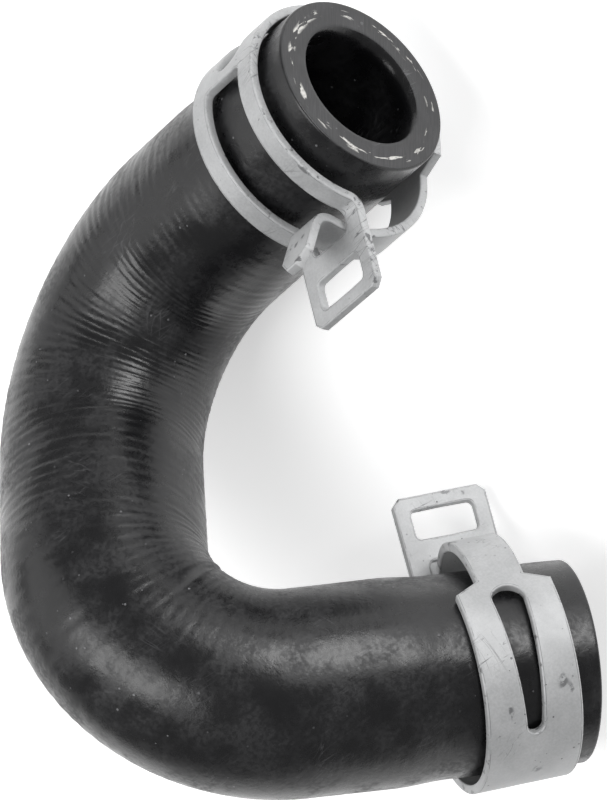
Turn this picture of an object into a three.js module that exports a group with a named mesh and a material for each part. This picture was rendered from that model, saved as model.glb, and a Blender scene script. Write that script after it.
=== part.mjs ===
// Moulded coolant hose: one thread reinforced rubber elbow with two bends, and a
// sprung steel band clamp round each of its ends. Millimetres, +Z up. The hose
// lies on its side as it comes to rest, with the origin under the middle of its box.
import * as THREE from 'three';

// Route of the hose, from the lower mouth to the upper mouth
const lowerStraight = 43.0;
const lowerBendRadius = 23.8;
const lowerBendAngle = 101.5; // degrees
const middleStraight = 15.9;
const upperBendRadius = 28.4;
const upperBendAngle = 89.2; // degrees
const upperStraight = 40.5;
const bendTwist = -62.4; // degrees from the lower bend's plane to the upper bend's

// Section of the hose
const lowerMouthRadius = 15.4; // outside, where the band sits
const lowerLegRadius = 15.9;
const upperLegRadius = 15.25;
const upperMouthRadius = 14.85; // outside, where the band sits
const mouthReach = 21.5; // length at each end that the bands have pinched
const swellReach = 8; // length over which the hose regains its full girth
const wall = 4.6;
const mouthChamfer = 0.35;

// Band clamp, the same pressing at both ends
const bandWidth = 15.0;
const bandThickness = 1.45;
const bandClearance = 0.7; // between the band and the lower mouth, which it hangs on loosely
const clampSetback = 4.3; // from the mouth to the band's near edge
const armGap = 8.2; // slot between the two arms, from the tab round the hose
const armReach = 97; // degrees of hose that the arms go round
const crossbarReach = 8; // degrees
const shortSlotReach = 40; // degrees
const shortSlotWidth = 5.2;
const bridgeReach = 52; // degrees
const taperSlotReach = 80; // degrees
const taperSlotStart = 2.4; // width where the taper slot begins
const taperSlotEnd = 5.3; // width where the taper slot ends
const shoulderReach = 6; // degrees over which the band narrows to its tongue
const tongueWidth = 7.6;
const flareStart = 270; // degrees from the arms' root to where the tongue leaves the hose
const flareStraight = 5.0;
const flareRadius = 13.9;
const slotCorner = 1.0; // corner radius at the ends of the arms' slot and the window

// Upright tab at one end of the band, and the hook at the other
const tabLength = 13.1;
const tabRootRadius = 2.0;
const tabCorner = 1.2;
const windowWidth = 10.0;
const windowHeight = 4.7;
const windowBar = 2.3; // strip left above the window
const tongueClearance = 0.4; // between the tongue and the end of the slot it passes through
const tongueNeck = 9; // length over which the tongue narrows to the hook's width
const hookStandoff = 2.0; // from the tab to where the hook's bend starts
const hookWidth = 6.3;
const hookBendRadius = 2.6;
const hookBend = 86; // degrees
const hookLength = 8.0;
const hookTipWidth = 2.2;
const hookTipTaper = 2.6;

// How each clamp sits, in degrees: its turn round the hose from the plane of the bend,
// its skew on the hose, where it rests on the rubber, and how far its tab leans from square
const lowerClamp = { turn: -84.7, skew: [-4.2, 2.2], restsAt: 0, tabLean: 23.5 };
const upperClamp = { turn: 90.1, skew: [1.5, 0.5], restsAt: 45, tabLean: 13.2 };
const restGap = 0.6; // between a clamp's middle line and the rubber where it rests

// Lean of the lying hose, from the plane of its lower bend. It lies on the outside of
// both its bends, with its two ends up.
const leanAlong = 53.68; // degrees, about the lower straight's square
const leanAcross = -33.03; // degrees, about the lower straight

// Fineness of the faceting
const hoseSides = 32;
const bendStep = 6; // degrees
const straightStep = 8;
const bandStep = 5; // degrees
const cornerSteps = 3;

const rubber = new THREE.MeshStandardMaterial({ color: 0x1b1b1d, roughness: 0.55, metalness: 0.0 });
const coatedSteel = new THREE.MeshStandardMaterial({ color: 0xb4b6b8, roughness: 0.5, metalness: 0.35 });

const radians = THREE.MathUtils.degToRad;

// A closed body from its points and triangles
function solid(points, triangles) {
  const geometry = new THREE.BufferGeometry();
  geometry.setAttribute('position', new THREE.Float32BufferAttribute(points.flat(), 3));
  geometry.setIndex(triangles.flat());
  geometry.computeVertexNormals();
  return geometry;
}

// Stations along a line of straights and bends, each with its frame and distance
function hoseRoute() {
  const point = new THREE.Vector3(0, 0, 0);
  const heading = new THREE.Vector3(-1, 0, 0);
  const side = new THREE.Vector3(0, 0, -1);
  const bendAxis = side.clone();
  const stations = [];
  let distance = 0;
  const mark = () => stations.push({
    point: point.clone(),
    heading: heading.clone(),
    side: side.clone(),
    bendAxis: bendAxis.clone(),
    distance,
  });
  const straight = (length) => {
    const steps = Math.max(1, Math.ceil(length / straightStep));
    for (let i = 0; i < steps; i += 1) {
      point.addScaledVector(heading, length / steps);
      distance += length / steps;
      mark();
    }
  };
  const bend = (radius, angle) => {
    const steps = Math.max(1, Math.ceil(angle / bendStep));
    const turn = radians(angle) / steps;
    for (let i = 0; i < steps; i += 1) {
      const inward = new THREE.Vector3().crossVectors(bendAxis, heading);
      const centre = point.clone().addScaledVector(inward, radius);
      point.sub(centre).applyAxisAngle(bendAxis, turn).add(centre);
      heading.applyAxisAngle(bendAxis, turn);
      side.applyAxisAngle(bendAxis, turn);
      distance += radius * turn;
      mark();
    }
  };
  mark();
  straight(lowerStraight);
  bend(lowerBendRadius, lowerBendAngle);
  straight(middleStraight);
  bendAxis.applyAxisAngle(heading, radians(bendTwist));
  bend(upperBendRadius, upperBendAngle);
  straight(upperStraight);
  return stations;
}

// A value at a place, from a list of places and values joined by straight lines
function between(list, place) {
  const next = list.findIndex((point) => point[0] >= place);
  if (next <= 0) {
    return list.at(next < 0 ? -1 : 0)[1];
  }
  const [before, after] = [list[next - 1], list[next]];
  const share = (place - before[0]) / (after[0] - before[0]);
  return THREE.MathUtils.lerp(before[1], after[1], share);
}

// Outside radius at a distance from the lower mouth: pinched at both ends
function outsideRadius(distance, length) {
  const swell = mouthReach + swellReach;
  return between([
    [mouthReach, lowerMouthRadius],
    [swell, lowerLegRadius],
    [length - swell, upperLegRadius],
    [length - mouthReach, upperMouthRadius],
  ], distance);
}

// The elbow: rings of the outside skin, then of the bore, joined at both mouths
function hoseGeometry(stations) {
  const length = stations.at(-1).distance;
  const first = stations[0];
  const last = stations.at(-1);
  const rings = [];
  const ring = (station, inset = 0, along = 0) => {
    rings.push({ station, radius: outsideRadius(station.distance, length) - inset, along });
  };
  ring(first, mouthChamfer);
  ring(first, 0, mouthChamfer);
  stations.slice(1, -1).forEach((station) => ring(station));
  ring(last, 0, -mouthChamfer);
  ring(last, mouthChamfer);
  [...stations].reverse().forEach((station) => ring(station, wall));

  const points = [];
  rings.forEach(({ station, radius, along }) => {
    const other = new THREE.Vector3().crossVectors(station.heading, station.side);
    for (let i = 0; i < hoseSides; i += 1) {
      const angle = (i / hoseSides) * 2 * Math.PI;
      const at = station.point.clone().addScaledVector(station.heading, along);
      at.addScaledVector(station.side, radius * Math.cos(angle));
      at.addScaledVector(other, radius * Math.sin(angle));
      points.push(at.toArray());
    }
  });
  const triangles = [];
  rings.forEach((_, j) => {
    const here = j * hoseSides;
    const next = ((j + 1) % rings.length) * hoseSides;
    for (let i = 0; i < hoseSides; i += 1) {
      const k = (i + 1) % hoseSides;
      triangles.push([here + i, here + k, next + k], [here + i, next + k, next + i]);
    }
  });
  return solid(points, triangles);
}

// A path in a plane made of straights and arcs, each starting the way the last ended
function planarPath(pieces) {
  const spans = [];
  let x = 0;
  let y = 0;
  let heading = 0;
  let start = 0;
  pieces.forEach(({ length, turn }) => {
    spans.push({ x, y, heading, start, length, turn });
    const half = turn / 2;
    const chord = Math.abs(turn) < 1e-9 ? length : (length * Math.sin(half)) / half;
    x += chord * Math.cos(heading + half);
    y += chord * Math.sin(heading + half);
    heading += turn;
    start += length;
  });
  const at = (distance) => {
    const span = spans.findLast((one) => one.start <= distance + 1e-9) ?? spans[0];
    const share = (distance - span.start) / span.length;
    const half = (span.turn * share) / 2;
    const run = distance - span.start;
    const chord = Math.abs(half) < 1e-9 ? run : (run * Math.sin(half)) / half;
    return {
      x: span.x + chord * Math.cos(span.heading + half),
      y: span.y + chord * Math.sin(span.heading + half),
      heading: span.heading + span.turn * share,
    };
  };
  return { at, spans, length: start };
}

// Half width of a slot at a distance along the strip, with round corners at its ends
function slotHalfWidth(slot, distance) {
  const { from, to, startWidth, endWidth, corner: roundness } = slot;
  if (distance <= from || distance >= to) {
    return 0;
  }
  const share = (distance - from) / (to - from);
  const full = THREE.MathUtils.lerp(startWidth, endWidth, share) / 2;
  const corner = Math.min(roundness, full);
  const inset = Math.min(distance - from, to - distance);
  if (inset >= corner) {
    return full;
  }
  return full - corner + Math.sqrt(corner ** 2 - (corner - inset) ** 2);
}

// A bent strip of sheet with slots along its middle, as one closed body
function stripGeometry(path, outline, slots, marks, centre) {
  const distances = [...new Set(marks.map((mark) => Math.round(mark * 1e4) / 1e4))].sort((a, b) => a - b);
  const points = [];
  const rails = distances.map((distance) => {
    const here = path.at(distance);
    const edge = between(outline, distance);
    const gap = Math.max(0, ...slots.map((slot) => slotHalfWidth(slot, distance)));
    const across = gap > 0 ? [-edge, -gap, gap, edge] : [-edge, 0, edge];
    const rail = across.map((width) => [0.5, -0.5].map((share) => {
      const lift = share * bandThickness;
      const x = here.x + lift * Math.sin(here.heading) - centre.x;
      const y = here.y - lift * Math.cos(here.heading) - centre.y;
      return points.push([x, y, width]) - 1;
    }));
    return gap > 0 ? rail : [rail[0], rail[1], rail[1], rail[2]];
  });
  const triangles = [];
  const quad = (a, b, c, d) => {
    if (a !== b && b !== c && c !== a) {
      triangles.push([a, b, c]);
    }
    if (a !== c && c !== d && d !== a) {
      triangles.push([a, c, d]);
    }
  };
  rails.slice(0, -1).forEach((here, i) => {
    const next = rails[i + 1];
    [[0, 1], [2, 3]].forEach(([p, q]) => {
      quad(here[p][0], next[p][0], next[q][0], here[q][0]);
      quad(here[p][1], here[q][1], next[q][1], next[p][1]);
    });
    quad(here[0][0], here[0][1], next[0][1], next[0][0]);
    quad(here[3][1], here[3][0], next[3][0], next[3][1]);
    if (here[1] !== here[2] || next[1] !== next[2]) {
      quad(here[1][1], here[1][0], next[1][0], next[1][1]);
      quad(here[2][0], here[2][1], next[2][1], next[2][0]);
    }
  });
  const cap = (rail, [first, second]) => {
    quad(rail[0][first], rail[1][first], rail[1][second], rail[0][second]);
    quad(rail[1][first], rail[3][first], rail[3][second], rail[1][second]);
  };
  cap(rails[0], [0, 1]);
  cap(rails.at(-1), [1, 0]);
  return solid(points, triangles);
}

// Where the flare passes through the tab's plane: its own length up to there, and the
// distance from the tab's tip. The tab lies on the path's first line, which is the x axis.
function tongueCrossing(lead) {
  const path = planarPath([...lead, { length: flareRadius * Math.PI, turn: Math.PI }]);
  const flare = path.spans.at(-1);
  const steps = 400;
  const trail = Array.from({ length: steps + 1 }, (_, i) => (flare.length * i) / steps);
  const across = trail.map((distance) => ({ distance, ...path.at(flare.start + distance) }));
  const ahead = across.filter((point) => point.x > 0 && point.x < tabLength + tabRootRadius);
  return ahead.reduce((best, point) => (Math.abs(point.y) < Math.abs(best.y) ? point : best));
}

// One band clamp round the z axis, its arms' root on the x axis
function clampGeometry(radius, tabLean) {
  const rootBend = radians(90 - tabLean);
  const lead = [
    { length: tabLength, turn: 0 },
    { length: tabRootRadius * rootBend, turn: -rootBend },
    { length: radius * radians(flareStart), turn: radians(flareStart) },
    { length: flareStraight, turn: 0 },
  ];
  const crossing = tongueCrossing(lead);
  const flareLength = crossing.distance + hookStandoff;
  const path = planarPath([
    ...lead,
    { length: flareLength, turn: flareLength / flareRadius },
    { length: hookBendRadius * radians(hookBend), turn: -radians(hookBend) },
    { length: hookLength, turn: 0 },
  ]);
  const [, root, ring, tongue, flare, hook, tip] = path.spans;
  const centre = {
    x: ring.x - radius * Math.sin(ring.heading),
    y: ring.y + radius * Math.cos(ring.heading),
  };
  const round = (degrees) => ring.start + radius * radians(degrees);

  const crossbarStart = armReach;
  const shortSlotStart = crossbarStart + crossbarReach;
  const bridgeStart = shortSlotStart + shortSlotReach;
  const taperStart = bridgeStart + bridgeReach;
  const taperFinish = taperStart + taperSlotReach;
  const armSlotTop = crossing.x - bandThickness / 2 - tongueClearance - slotCorner / 2;
  const slot = (from, to, startWidth, endWidth, corner) => ({ from, to, startWidth, endWidth, corner });
  const slots = [
    slot(windowBar, windowBar + windowHeight, windowWidth, windowWidth, slotCorner),
    slot(armSlotTop, round(crossbarStart), armGap, armGap, slotCorner),
    slot(round(shortSlotStart), round(bridgeStart), shortSlotWidth, shortSlotWidth, shortSlotWidth / 2),
    slot(round(taperStart), round(taperFinish), taperSlotStart, taperSlotEnd, taperSlotEnd / 2),
  ];
  const shoulder = round(taperFinish);
  const outline = [
    [0, bandWidth / 2 - tabCorner],
    [tabCorner, bandWidth / 2],
    [shoulder, bandWidth / 2],
    [shoulder + (round(shoulderReach) - round(0)), tongueWidth / 2],
    [hook.start - hookStandoff - bandThickness - tongueNeck, tongueWidth / 2],
    [hook.start - hookStandoff - bandThickness, hookWidth / 2],
    [path.length - hookTipTaper, hookWidth / 2],
    [path.length, hookTipWidth / 2],
  ];
  const marks = [0, path.length, ...outline.map((point) => point[0])];
  const even = (from, to, step) => {
    const steps = Math.max(1, Math.ceil((to - from) / step));
    for (let i = 0; i <= steps; i += 1) {
      marks.push(from + ((to - from) * i) / steps);
    }
  };
  const arcStep = radius * radians(bandStep);
  even(root.start, ring.start, tabRootRadius * radians(bandStep * 3));
  even(ring.start, tongue.start, arcStep);
  even(flare.start, hook.start, arcStep);
  even(hook.start, tip.start, hookBendRadius * radians(bandStep * 3));
  slots.forEach(({ from, to, startWidth, endWidth, corner: roundness }) => {
    [[from, 1, startWidth], [to, -1, endWidth]].forEach(([end, way, width]) => {
      const corner = Math.min(roundness, width / 2);
      marks.push(end);
      for (let i = 0; i <= cornerSteps; i += 1) {
        marks.push(end + way * corner * (1 - Math.cos((Math.PI / 2) * Math.max(0.04, i / cornerSteps))));
      }
    });
  });
  const geometry = stripGeometry(path, outline, slots, marks, centre);
  geometry.rotateZ(Math.PI / 2 - ring.heading);
  return geometry;
}

// A clamp turned round one end of the hose: z points into the hose, x at the arms' root.
// Where it is wider than the hose, it hangs off centre and rests on one side.
function placedClamp(name, station, inward, hoseRadius, seat) {
  const bore = Math.max(lowerMouthRadius, upperMouthRadius) + bandClearance;
  const mesh = new THREE.Mesh(clampGeometry(bore + bandThickness / 2, seat.tabLean), coatedSteel);
  const across = station.bendAxis;
  const square = new THREE.Vector3().crossVectors(inward, across);
  const x = across.clone().applyAxisAngle(inward, radians(seat.turn));
  const y = new THREE.Vector3().crossVectors(inward, x);
  mesh.quaternion.setFromRotationMatrix(new THREE.Matrix4().makeBasis(x, y, inward));
  mesh.rotateOnWorldAxis(across, radians(seat.skew[0]));
  mesh.rotateOnWorldAxis(square, radians(seat.skew[1]));
  const drop = across.clone().applyAxisAngle(inward, radians(seat.restsAt));
  mesh.position.copy(station.point).addScaledVector(inward, clampSetback + bandWidth / 2);
  mesh.position.addScaledVector(drop, bore - hoseRadius - restGap);
  mesh.name = name;
  return mesh;
}

function buildHose() {
  const stations = hoseRoute();
  const hose = new THREE.Mesh(hoseGeometry(stations), rubber);
  hose.name = 'hose';
  const lower = stations[0];
  const upper = stations.at(-1);
  const group = new THREE.Group();
  group.add(
    hose,
    placedClamp('lower_clamp', lower, lower.heading.clone(), lowerMouthRadius, lowerClamp),
    placedClamp('upper_clamp', upper, upper.heading.clone().negate(), upperMouthRadius, upperClamp),
  );
  return group;
}

// Leans the hose onto the three points that carry it, over the middle of its box
function layDown(group) {
  group.rotation.set(radians(leanAcross), radians(leanAlong), 0);
  group.updateMatrixWorld(true);
  const box = new THREE.Box3().setFromObject(group, true);
  const middle = box.getCenter(new THREE.Vector3());
  group.position.set(-middle.x, -middle.y, -box.min.z);
  return group;
}

export default layDown(buildHose());
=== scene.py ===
"""Moulded coolant hose with a sprung band clamp round each end, dressed for a studio picture.

The hose and both clamps are surfaces worked out with numpy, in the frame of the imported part.
Lengths in the settings are metres and angles are radians.
"""

import math

import bmesh
import bpy
import numpy as np
from bpy.props import FloatProperty, FloatVectorProperty, IntProperty, PointerProperty
from mathutils import Matrix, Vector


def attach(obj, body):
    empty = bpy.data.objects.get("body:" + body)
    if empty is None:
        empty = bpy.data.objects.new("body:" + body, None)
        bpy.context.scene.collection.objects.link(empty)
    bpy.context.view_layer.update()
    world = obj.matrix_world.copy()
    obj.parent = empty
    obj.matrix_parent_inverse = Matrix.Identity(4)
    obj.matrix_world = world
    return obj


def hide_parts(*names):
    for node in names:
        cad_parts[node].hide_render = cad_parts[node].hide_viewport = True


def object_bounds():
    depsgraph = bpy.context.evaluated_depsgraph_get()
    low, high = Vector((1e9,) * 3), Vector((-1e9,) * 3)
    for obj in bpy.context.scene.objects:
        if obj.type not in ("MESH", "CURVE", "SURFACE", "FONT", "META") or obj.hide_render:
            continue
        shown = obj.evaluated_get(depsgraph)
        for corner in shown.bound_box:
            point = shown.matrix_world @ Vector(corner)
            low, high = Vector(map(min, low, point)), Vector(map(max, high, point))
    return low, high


bl_info = {
    "name": "Coolant Hose",
    "version": (1, 0, 0),
    "blender": (4, 5, 0),
    "location": "View3D > Sidebar > Coolant Hose",
    "description": "Makes a moulded coolant hose, its two band clamps, finishes and studio",
    "category": "Add Mesh",
}

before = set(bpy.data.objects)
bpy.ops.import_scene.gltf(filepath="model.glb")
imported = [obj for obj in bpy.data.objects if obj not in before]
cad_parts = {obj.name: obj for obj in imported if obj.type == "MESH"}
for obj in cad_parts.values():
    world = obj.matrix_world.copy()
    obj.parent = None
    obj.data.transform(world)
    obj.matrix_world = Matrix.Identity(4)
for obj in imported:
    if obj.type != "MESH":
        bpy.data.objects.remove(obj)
CAD_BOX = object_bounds()
MM = 0.001
CM = 0.01
X_AXIS, Y_AXIS, Z_AXIS = np.eye(3)

# Where the lower mouth's centre lies, and how far the floor lies under the part
LOWER_MOUTH_AT = np.array((9.652, -44.709, 11.143)) * MM
FLOOR_DROP = 0.4 * MM

# Where much thread shows in the cut ends: share of a turn, reach in turns, and how much more
THREAD_ENDS = ((0.245, 0.03, 0.16), (0.31, 0.022, 0.14), (0.415, 0.016, 0.14), (0.54, 0.04, 0.1))

# The saw marks' noise across and along them, in waves per metre
ACROSS_SAW_MARKS = (4300, -3560, -2810)
ALONG_SAW_MARKS = (160, 245, -63)

# Scuffs of each clamp, in millimetres: distance from the tab's tip, place across, side of the
# strip (0 outer, 1 inner), reach along, reach across, and how dark it is
SCUFFS = {
    "lower": (
        (80.5, -4.8, 0, 1.3, 0.9, 0.75), (79.3, -6.0, 0, 0.8, 0.5, 0.6),
        (77.5, 3.8, 0, 1.1, 0.4, 0.9), (73.9, 5.9, 0, 0.6, 0.5, 0.7),
        (65.5, -0.8, 0, 1.2, 1.0, 0.6), (110.0, 3.4, 0, 1.3, 0.9, 0.7),
        (0.4, -1.2, 1, 0.5, 0.8, 0.9), (1.0, -3.9, 1, 0.9, 0.4, 0.6),
    ),
    "upper": (
        (130.9, -1.2, 1, 0.5, 0.5, 1.0), (131.4, 0.3, 1, 0.8, 0.4, 1.0),
        (131.0, 1.7, 1, 0.9, 0.4, 1.0), (45.0, 2.0, 1, 1.2, 0.9, 0.6),
        (24.0, -7.2, 0, 1.6, 0.4, 0.8),
    ),
}


def length(name, description, millimetres):
    """A setting that holds a length."""
    return FloatProperty(
        name=name, description=description, default=millimetres * MM, unit="LENGTH", precision=5
    )


def angle(name, description, degrees):
    """A setting that holds an angle."""
    return FloatProperty(
        name=name, description=description, default=math.radians(degrees), subtype="ANGLE"
    )


def colour(name, description, value):
    """A setting that holds a colour."""
    return FloatVectorProperty(
        name=name, description=description, default=value, subtype="COLOR", size=4, min=0, max=1
    )


def share(name, description, value):
    """A setting that runs from 0 to 1."""
    return FloatProperty(
        name=name, description=description, default=value, subtype="FACTOR", min=0, max=1
    )


def power(name, description, watts):
    """A setting that holds a light's power."""
    return FloatProperty(name=name, description=description, default=watts, unit="POWER")


class HoseShape(bpy.types.PropertyGroup):
    """Sizes of the moulded hose."""

    lower_straight: length("Lower straight", "From the lower mouth to its bend", 43.0)
    lower_bend_radius: length("Lower bend radius", "Of the centre line", 23.8)
    lower_bend_angle: angle("Lower bend angle", "How far the lower bend turns", 101.5)
    middle_straight: length("Middle straight", "Between the two bends", 15.9)
    upper_bend_radius: length("Upper bend radius", "Of the centre line", 28.4)
    upper_bend_angle: angle("Upper bend angle", "How far the upper bend turns", 89.2)
    upper_straight: length("Upper straight", "From the upper bend to its mouth", 40.5)
    bend_twist: angle("Twist", "From the lower bend's plane to the upper one's", -62.4)
    lower_mouth_radius: length("Lower mouth radius", "Outside, under the band", 15.4)
    lower_leg_radius: length("Lower leg radius", "Outside", 15.9)
    upper_leg_radius: length("Upper leg radius", "Outside", 15.25)
    upper_mouth_radius: length("Upper mouth radius", "Outside, under the band", 14.85)
    mouth_reach: length("Pinched length", "What the bands have pinched at each end", 21.5)
    swell_reach: length("Swell length", "Over which the hose regains its full girth", 8.0)
    wall: length("Wall", "Thickness of the rubber", 4.6)
    mouth_edge: length("Mouth edge", "Rounding of the cut ends", 0.35)
    ridge_pitch: length("Ridge pitch", "Between the ridges left by the thread", 1.75)
    ridge_height: length("Ridge height", "Of those ridges", 0.085)
    ridge_slant: length("Ridge slant", "How far a ridge advances in one turn round the hose", 5.25)
    lean_along: angle("Lean along", "How the hose lies, about the lower straight's square", 53.68)
    lean_across: angle("Lean across", "How the hose lies, about the lower straight", -33.03)


class ClampShape(bpy.types.PropertyGroup):
    """Sizes of the band clamp, the same pressing at both ends."""

    width: length("Width", "Of the band", 15.0)
    thickness: length("Thickness", "Of the spring steel", 1.45)
    clearance: length("Clearance", "Between the band and the lower mouth", 0.7)
    setback: length("Setback", "From the mouth to the band's near edge", 4.3)
    arm_gap: length("Arm gap", "Slot between the two arms", 8.2)
    arm_reach: angle("Arm reach", "Of hose that the arms go round", 97)
    crossbar_reach: angle("Crossbar reach", "Between the arms' slot and the short slot", 8)
    short_slot_reach: angle("Short slot reach", "Length of the short slot", 40)
    short_slot_width: length("Short slot width", "Of the slot by the crossbar", 5.2)
    bridge_reach: angle("Bridge reach", "Whole band between the two slots", 52)
    taper_slot_reach: angle("Taper slot reach", "Length of the taper slot", 80)
    taper_slot_start: length("Taper slot start", "Its width by the bridge", 2.4)
    taper_slot_end: length("Taper slot end", "Its width by the tongue", 5.3)
    shoulder_reach: angle("Shoulder reach", "Over which the band narrows to its tongue", 6)
    tongue_width: length("Tongue width", "Where it leaves the band", 7.6)
    flare_start: angle("Flare start", "Where the tongue leaves the hose", 270)
    flare_straight: length("Flare straight", "Before the tongue curves", 5.0)
    flare_radius: length("Flare radius", "Of the tongue's curve", 13.9)
    slot_corner: length("Slot corner", "Corner radius of the arms' slot and the window", 1.0)
    tab_length: length("Tab length", "Of the upright tab", 13.1)
    tab_root_radius: length("Tab root radius", "Of the bend under the tab", 2.0)
    tab_corner: length("Tab corner", "Cut off the tab's corners", 1.2)
    window_width: length("Window width", "Across the tab", 10.0)
    window_height: length("Window height", "Along the tab", 4.7)
    window_bar: length("Window bar", "Strip left above the window", 2.3)
    tongue_clearance: length("Tongue clearance", "To the end of the slot it passes through", 0.4)
    tongue_neck: length("Tongue neck", "Over which the tongue narrows", 9.0)
    hook_standoff: length("Hook standoff", "From the tab to the hook's bend", 2.0)
    hook_width: length("Hook width", "Of the hooked end", 6.3)
    hook_bend_radius: length("Hook bend radius", "Of the hook's bend", 2.6)
    hook_bend: angle("Hook bend", "How far the hook turns", 86)
    hook_length: length("Hook length", "Past its bend", 8.0)
    hook_tip_width: length("Hook tip width", "At the hook's end", 2.2)
    hook_tip_taper: length("Hook tip taper", "Over which the hook narrows to its tip", 2.6)
    edge_round: length("Edge rounding", "Left on the edges by the press and the coating", 0.26)
    rest_gap: length("Rest gap", "Left between a band and the rubber where it rests", 0.6)
    lower_turn: angle("Lower turn", "Of the lower clamp round the hose", -84.7)
    lower_skew: angle("Lower skew", "Of the lower clamp, about the bend's axis", -4.2)
    lower_tip: angle("Lower tip", "Of the lower clamp, square to its skew", 2.2)
    lower_rests_at: angle("Lower rests at", "Side on which the lower clamp hangs off centre", 0)
    lower_tab_lean: angle("Lower tab lean", "Of the lower tab, from square", 23.5)
    upper_turn: angle("Upper turn", "Of the upper clamp round the hose", 90.1)
    upper_skew: angle("Upper skew", "Of the upper clamp, about the bend's axis", 1.5)
    upper_tip: angle("Upper tip", "Of the upper clamp, square to its skew", 0.5)
    upper_rests_at: angle("Upper rests at", "Side on which the upper clamp hangs off centre", 45)
    upper_tab_lean: angle("Upper tab lean", "Of the upper tab, from square", 13.2)


class Finish(bpy.types.PropertyGroup):
    """Colours and wear of the rubber and the coated steel."""

    rubber: colour("Rubber", "Moulded skin", (0.007, 0.007, 0.0078, 1))
    rubber_bloom: colour("Bloom", "Grey film on the skin", (0.021, 0.021, 0.0225, 1))
    cut_face: colour("Cut face", "Sawn ends of the hose", (0.046, 0.046, 0.048, 1))
    thread: colour("Thread", "Reinforcement that shows in the cut ends", (0.62, 0.61, 0.58, 1))
    dust: colour("Dust", "Specks and scratches", (0.24, 0.24, 0.25, 1))
    coating: colour("Coating", "Zinc flake coating of the clamps", (0.405, 0.41, 0.415, 1))
    coating_pale: colour("Pale coating", "Where the coating lies thick", (0.545, 0.55, 0.555, 1))
    # The bare steel colour also paints the thin dark line of painted shade along the clamps' edges
    bare_steel_and_edge_shade: colour("Bare steel", "Where the coating is rubbed through", (0.055, 0.055, 0.06, 1))
    wear: share("Wear", "How far the clamps are rubbed", 0.5)
    skin_roughness: share("Skin roughness", "Of the rubber", 0.33)


class Studio(bpy.types.PropertyGroup):
    """Floor, lights and camera."""

    floor: colour("Floor", "Pale floor", (0.93, 0.93, 0.93, 1))
    floor_glow: share("Floor glow", "Light that the floor itself gives, as a lit table does", 0.52)
    floor_size: length("Floor size", "Side of the floor", 4000)
    room: share("Room light", "Strength of the even light all round", 0.26)
    key_power: power("Key", "Power of the key light", 1.85)
    window_power: power("Window", "Power of the window light", 1.9)
    side_power: power("Side", "Power of the side light", 0.75)
    camera_at: FloatVectorProperty(
        name="Camera", description="Where the camera stands", subtype="TRANSLATION",
        default=(0.54786, -0.09756, 0.99176),
    )
    camera_right: FloatVectorProperty(
        name="Camera right", description="The picture's right", subtype="DIRECTION",
        default=(0.68789, -0.56995, -0.4494),
    )
    camera_up: FloatVectorProperty(
        name="Camera up", description="The picture's top", subtype="DIRECTION",
        default=(0.53811, 0.81598, -0.2112),
    )
    lens: FloatProperty(name="Lens", description="Focal length on a 36 mm frame", default=333.67)


class Fineness(bpy.types.PropertyGroup):
    """How finely the surfaces are divided."""

    hose_rings: IntProperty(name="Hose rings", description="Along the hose's skin", default=680)
    hose_sides: IntProperty(name="Hose sides", description="Sides of each ring", default=112)
    strip_step: length("Strip step", "Between stations along a clamp", 0.4)


def turned(vectors, axis, angles):
    """Rodrigues' turn of vectors about one unit axis, by one angle or by one each: the part along
    the axis stays, and the rest goes round by its cosine and by the sine of its cross product."""
    angles = np.asarray(angles, float)[..., None]
    along = (vectors @ axis)[..., None] * axis
    return along + (vectors - along) * np.cos(angles) + np.cross(axis, vectors) * np.sin(angles)


def smooth(value):
    """Smooth step from 0 to 1: three squares less two cubes."""
    value = np.clip(value, 0, 1)
    return value * value * (3 - 2 * value)


def bump(value, centre, reach):
    """Bell round a centre: e to the minus square of the distance over the reach."""
    return np.exp(-(((value - centre) / reach) ** 2))


def hose_spans(shape):
    """The centre line as length, bend radius and twist before the span; radius 0 is a straight."""
    return (
        (shape.lower_straight, 0.0, 0.0),
        (shape.lower_bend_radius * shape.lower_bend_angle, shape.lower_bend_radius, 0.0),
        (shape.middle_straight, 0.0, 0.0),
        (
            shape.upper_bend_radius * shape.upper_bend_angle,
            shape.upper_bend_radius,
            shape.bend_twist,
        ),
        (shape.upper_straight, 0.0, 0.0),
    )


def hose_length(shape):
    """Length of the centre line, the sum of its spans."""
    return sum(span[0] for span in hose_spans(shape))


def hose_frames(shape, distance):
    """Point, heading, side and bend axis at each distance along the centre line. On a straight the
    point moves along the heading. On a bend the whole frame turns about the bend's axis through
    its centre, by the distance run over the bend's radius."""
    distance = np.atleast_1d(distance)
    point, heading = np.zeros(3), np.array((-1.0, 0.0, 0.0))
    side = np.array((0.0, 0.0, -1.0))
    axis = side.copy()
    found = np.zeros((4, len(distance), 3))
    start = 0.0
    for reach, radius, twist in hose_spans(shape):
        axis = turned(axis, heading, twist)
        run = np.append(np.clip(distance - start, 0, reach), reach)
        angles = run / radius if radius else np.zeros_like(run)
        if radius:
            centre = point + np.cross(axis, heading) * radius
            points = centre + turned(point - centre, axis, angles)
        else:
            points = point + heading * run[:, None]
        headings, sides = turned(heading, axis, angles), turned(side, axis, angles)
        here = distance >= start
        for row, values in zip(found, (points, headings, sides)):
            row[here] = values[:-1][here]
        found[3, here] = axis
        point, heading, side = points[-1], headings[-1], sides[-1]
        start += reach
    return found


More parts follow.
